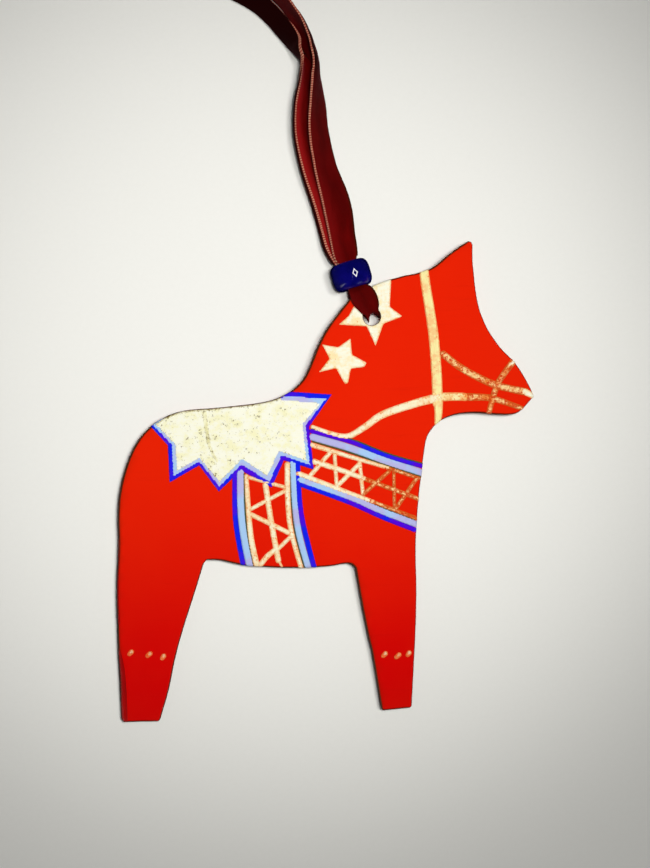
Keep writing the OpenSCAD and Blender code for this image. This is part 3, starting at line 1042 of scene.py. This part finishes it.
def stroke(points, width):
    """The outline of a brush stroke through the points, with round ends. width is one size, or the first
    and the last."""
    line = curve_points(points, 5) if len(points) > 2 else np.array(points, float)
    first, last = (width, width) if isinstance(width, (int, float)) else width
    n = len(line)
    left, right = [], []
    for i in range(n):
        before = line[i] - line[i - 1] if i else line[1] - line[0]
        after = line[i + 1] - line[i] if i < n - 1 else before
        before, after = unit(before), unit(after)
        way = unit(before + after)
        normal = np.array([-way[1], way[0]])
        stretch = 1 / max(abs(way.dot(after)), 0.45)
        half = (first + (last - first) * i / max(n - 1, 1)) / 2
        left.append(line[i] + normal * half * stretch)
        right.append(line[i] - normal * half * stretch)
    start, end = unit(line[1] - line[0]), unit(line[-1] - line[-2])
    tip = [line[-1] + (end * math.sin(a) + np.array([-end[1], end[0]]) * math.cos(a)) * last / 2
           for a in np.linspace(0.5, math.pi - 0.5, 4)]
    butt = [line[0] + (-start * math.sin(a) - np.array([-start[1], start[0]]) * math.cos(a)) * first / 2
            for a in np.linspace(0.5, math.pi - 0.5, 4)]
    return millimetres(left + tip + right[::-1] + butt)


SADDLE_OUTER = [(-43.6, 15.2), (-41.8, 13.3), (-37.7, 8.8), (-37.3, -0.1), (-30.2, 4.0), (-25.5, -2.3),
                (-20.2, 2.8), (-12.8, -1.3), (-9.9, 5.2), (-2.7, 3.0), (-3.8, 13.3), (1.6, 21.0),
                (-8.9, 21.7), (-12.0, 19.2), (-26, 16.5), (-36, 15.2)]
SADDLE_INNER = [(-42.6, 16.2), (-40.9, 13.8), (-36.1, 8.8), (-35.7, 2.3), (-30.2, 5.4), (-25.3, -0.4),
                (-19.9, 5.2), (-13.7, 1.1), (-10.9, 7.2), (-4.1, 4.7), (-5.1, 13.8), (-0.5, 19.1),
                (-10.4, 20.0), (-12.5, 18.8), (-26, 16.2), (-36, 14.9)]
LEAF_TOP = [(-10.4, 20.0), (-14.5, 25.0), (-30, 22)]


def paint_saddle(painter):
    outer, inner = np.array(SADDLE_OUTER), np.array(SADDLE_INNER)
    between = outer + 0.46 * (inner - outer)
    painter.paint("saddle_border_blue", [millimetres(SADDLE_OUTER)], 0.07, "blue")
    painter.paint("saddle_border_light", [millimetres(between)], 0.1, "light")
    painter.paint("saddle_gold", [millimetres(SADDLE_INNER[:12] + LEAF_TOP)], 0.13, "leaf", wrap=-0.22 * MM)
    painter.brush("saddle_crease", [
        ([(-28.9, 16.6), (-28.3, 12.5), (-27.7, 8.6), (-25.9, 5.0)], (1.6, 1.0)),
    ], 0.17, "crease", spacing=0.3)


def paint_girth(painter):
    """The band round the belly: blue, light blue and gold on both sides of a gold lattice."""
    below = -21.5
    painter.brush("girth_blue", [
        ([(-21.6, 2.4), (-21.6, -7.3), (-20.8, -14.0), (-19.3, below)], 1.25),
        ([(-6.6, 4.4), (-6.1, -5.0), (-5.0, -11.4), (-2.4, below)], 1.3),
    ], 0.05, "blue")
    painter.brush("girth_light_blue", [
        ([(-20.3, 2.6), (-20.2, -6.5), (-19.4, -13.5), (-17.8, below)], 1.75),
        ([(-7.7, 4.6), (-7.3, -4.5), (-6.3, -12.3), (-3.8, below)], 1.55),
    ], 0.055, "light")
    painter.brush("girth_seams", [
        ([(-19.45, 2.0), (-19.2, -6.5), (-18.45, -13.8), (-16.9, below)], 0.4),
        ([(-8.3, 4.4), (-8.05, -4.7), (-7.2, -12.1), (-4.7, below)], 0.36),
    ], 0.058, "seam", spacing=0.3)
    lattice = [
        ([(-18.9, 1.4), (-18.4, -6.5), (-17.7, -14.0), (-16.1, below)], (1.15, 1.6)),
        ([(-9.0, 4.2), (-8.9, -4.9), (-8.1, -12.0), (-5.5, below)], (1.4, 1.15)),
        ([(-14.3, -0.6), (-13.1, -8.5), (-11.9, -15.2), (-11.2, -18.9)], 1.4),
        ([(-18.3, 1.1), (-9.0, -1.4)], 0.9),
        ([(-17.8, -6.5), (-9.2, -1.9)], 1.0),
        ([(-17.8, -7.8), (-13.0, -10.1), (-8.6, -12.3)], 1.2),
        ([(-8.3, -13.2), (-12.0, -16.8)], 1.0),
        ([(-11.8, -16.2), (-13.8, -17.8), (-15.6, -20.0)], 1.3),
        ([(-11.6, -17.6), (-10.4, -20.4)], 0.6),
    ]
    painter.brush("girth_gold", lattice, 0.065, "cream")


def paint_breast_band(painter):
    """The slanting band over the shoulder, from the saddle to the breast."""
    past = 23.8
    painter.brush("breast_blue", [
        ([(-3.3, 12.2), (6.1, 9.7), (15.0, 6.2), (past, 3.7)], 1.1),
        ([(-5.7, -0.6), (6.0, -4.9), (14.0, -8.5), (past, -12.3)], 1.2),
    ], 0.05, "blue")
    painter.brush("breast_light_blue", [
        ([(-3.0, 10.8), (6.2, 8.1), (15.0, 4.9), (past, 2.1)], 1.75),
        ([(-6.0, 0.6), (6.0, -3.6), (14.0, -7.1), (past, -10.8)], 1.65),
    ], 0.055, "light")
    painter.brush("breast_seams", [
        ([(-3.0, 9.75), (6.0, 7.05), (15.0, 3.95), (past, 1.05)], 0.4),
        ([(-6.2, 1.35), (5.4, -2.9), (13.8, -6.2), (past, -10.0)], 0.36),
        ([(-3.3, 12.85), (6.2, 10.35), (15.1, 6.85), (past, 4.35)], 0.36),
    ], 0.058, "seam", spacing=0.3)
    painter.brush("breast_gold_rails", [
        ([(-3.2, 8.9), (4.0, 6.7), (8.3, 5.4), (15.5, 3.3)], (1.2, 0.9)),
        ([(-2.6, 4.9), (4.0, 2.8), (9.4, 0.8)], (1.4, 1.2)),
        ([(-6.4, 2.0), (4.7, -2.3), (11.5, -4.8)], (1.4, 1.1)),
    ], 0.065, "cream")
    painter.brush("breast_gold_lattice", [
        ([(14.5, 3.6), (22.6, 0.9)], 0.95),
        ([(8.6, 1.1), (22.6, -4.1)], 1.1),
        ([(10.8, -4.5), (22.4, -8.9)], 1.0),
        ([(16.5, 2.9), (16.7, -6.6)], 0.85),
        ([(15.3, 2.5), (9.1, -3.0)], 1.0),
        ([(22.2, 1.2), (17.0, -6.4)], 1.0),
    ], 0.06, "thin_gold")
    painter.brush("breast_cream_lattice", [
        ([(2.3, 6.8), (2.8, -1.1)], 0.95),
        ([(8.3, 4.9), (9.1, -3.0)], 0.95),
        ([(1.4, 7.3), (-3.7, 1.3)], 1.1),
        ([(8.3, 4.4), (2.8, -1.1)], 1.1),
    ], 0.06, "cream")


def paint_bridle(painter):
    painter.brush("bridle_cheek", [
        ([(23.6, 51.8), (23.9, 48.5), (24.8, 42.9), (26.0, 35.0), (26.7, 26.5), (27.0, 19.0)], (2.2, 2.6)),
        ([(27.0, 20.5), (27.2, 17.0), (27.0, 13.9)], (2.5, 1.5)),
    ], 0.065, "upright_gold")
    painter.brush("bridle_rein", [
        ([(-3.0, 13.2), (1.5, 11.6), (5.5, 11.0), (9.5, 13.2), (13.9, 16.2), (21.8, 18.9),
                (27.3, 20.3)], (1.0, 2.2)),
    ], 0.07, "cream")
    painter.brush("bridle_rein_end", [
        ([(27.3, 20.4), (31.5, 20.5), (33.6, 20.4)], (2.1, 1.9)),
    ], 0.07, "gold")
    painter.brush("bridle_straps", [
        ([(34.2, 20.4), (39.4, 20.2), (43.5, 19.0), (47.4, 17.6)], (1.9, 1.1)),
        ([(28.3, 30.7), (32.9, 27.2), (40.5, 23.4), (48.2, 21.6)], (1.7, 1.8)),
        ([(45.6, 29.6), (41.6, 24.0), (40.0, 19.3), (39.3, 16.6)], (1.6, 1.3)),
    ], 0.06, "thin_gold")
    painter.brush("bridle_spots", [
        ([(47.9, 21.7), (50.0, 20.5)], (1.7, 1.2)),
        ([(44.2, 28.0), (45.4, 29.0)], (0.8, 1.2)),
    ], 0.09, "star", spacing=0.3)


def rounded(points, radius):
    """The outline with its corners cut by small curves, radius long on each side, in millimetres."""
    made = []
    p = np.array(points, float)
    for a, b, c in zip(np.roll(p, 1, axis=0), p, np.roll(p, -1, axis=0)):
        start, end = b + unit(a - b) * radius, b + unit(c - b) * radius
        made += [(1 - t) ** 2 * start + 2 * t * (1 - t) * b + t * t * end for t in (0, 0.33, 0.67, 1)]
    return millimetres(made)


def paint_stars(painter):
    """One star on the neck, and one round the hole that runs off the edge beside the bead."""
    lower = [(6.1, 34.4), (3.1, 32.3), (-0.7, 33.0), (1.1, 29.6), (-1.5, 26.3), (2.6, 27.3), (4.8, 23.5),
             (5.5, 23.7), (6.2, 27.2), (9.4, 27.6), (10.0, 28.6), (6.5, 30.5)]
    painter.paint("star_on_the_neck", [rounded(lower, 0.35)], 0.065, "star")
    upper = [(11.4, 49.0), (15.9, 49.6), (15.5, 42.0), (18.5, 39.7), (14.0, 37.9), (12.1, 32.6), (10.0, 37.3),
             (3.3, 37.7), (5.8, 40.0), (6.9, 42.1), (8.6, 41.0), (10.5, 42.5)]
    painter.paint("star_round_the_hole", [rounded(upper, 0.3)], 0.065, "star")


def paint_dots(painter):
    """Three dabs on each leg: an orange smear with a pale blob on its upper end."""
    spots = [(-46.8, -41.2), (-42.4, -41.6), (-39.0, -42.2), (14.3, -41.6), (17.5, -41.9), (20.1, -41.4)]
    smears, blobs = [], []
    for i, (x, y) in enumerate(spots):
        reach = 0.28 + 0.08 * math.sin(2.1 * i)
        smears.append(([(x - reach, y - 0.3), (x + reach, y + 0.28)], (1.05, 1.2)))
        blobs.append(([(x + 0.08, y + 0.08), (x + reach, y + 0.34)], (0.7, 0.85)))
    painter.brush("leg_dots_under", smears, 0.06, "orange", spacing=0.3)
    painter.brush("leg_dots", blobs, 0.14, "dot", spacing=0.25)


def paint_leg_shade(painter):
    """Painted shade: a darker red band along the rear leg's outer edge, and a thinner one higher up that
    edge.
    """
    painter.brush("leg_shade", [
        ([(-49.6, -40.5), (-48.9, -45.0), (-48.6, -51.0), (-48.6, -58.6)], (0.8, 2.1)),
        ([(-49.7, -14.0), (-49.9, -27.0), (-49.6, -34.0)], (0.5, 0.7)),
    ], 0.03, "shade")


# ---- Assembly ----

def add_floor(material):
    half = 0.9
    corners = [(-half, -half, 0), (half, -half, 0), (half, half, 0), (-half, half, 0)]
    mesh = bpy.data.meshes.new("floor")
    mesh.from_pydata(corners, [], [(0, 1, 2, 3)])
    mesh.materials.append(material)
    floor = bpy.data.objects.new("floor", mesh)
    floor.visible_glossy = False
    bpy.context.collection.objects.link(floor)


add_camera()
velvet = velvet_material()
loop, strands, bead_centre, slide_axis = add_ribbon(velvet)
add_lights()
add_floor(floor_material())
add_bead(bead_material(), motif_material(), bead_centre, slide_axis)

board = Board()
add_board(board, board_material())
finishes = {key: gold_material(*values) for key, values in GOLDS.items()}
finishes.update({key: brushed_material(*values) for key, values in COLOURS.items()})
painter = Painter(board, finishes)
for paint_part in (paint_girth, paint_breast_band, paint_saddle, paint_bridle, paint_stars, paint_dots,
                   paint_leg_shade):
    paint_part(painter)

# The point where the loop leaves the hole's rim towards the bead is worked out, and the loop's and the
# strands' placements are baked into their meshes
swing_centre = np.array(joint_record("ribbon_swing")["pos_m"])
bead_half = slide_axis * BEAD_LENGTH / 2
loop_end = bead_centre - bead_half
hole_rim = swing_centre + HOLE_RIM * unit(loop_end - swing_centre)
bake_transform(loop)
for strand in strands:
    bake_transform(strand)
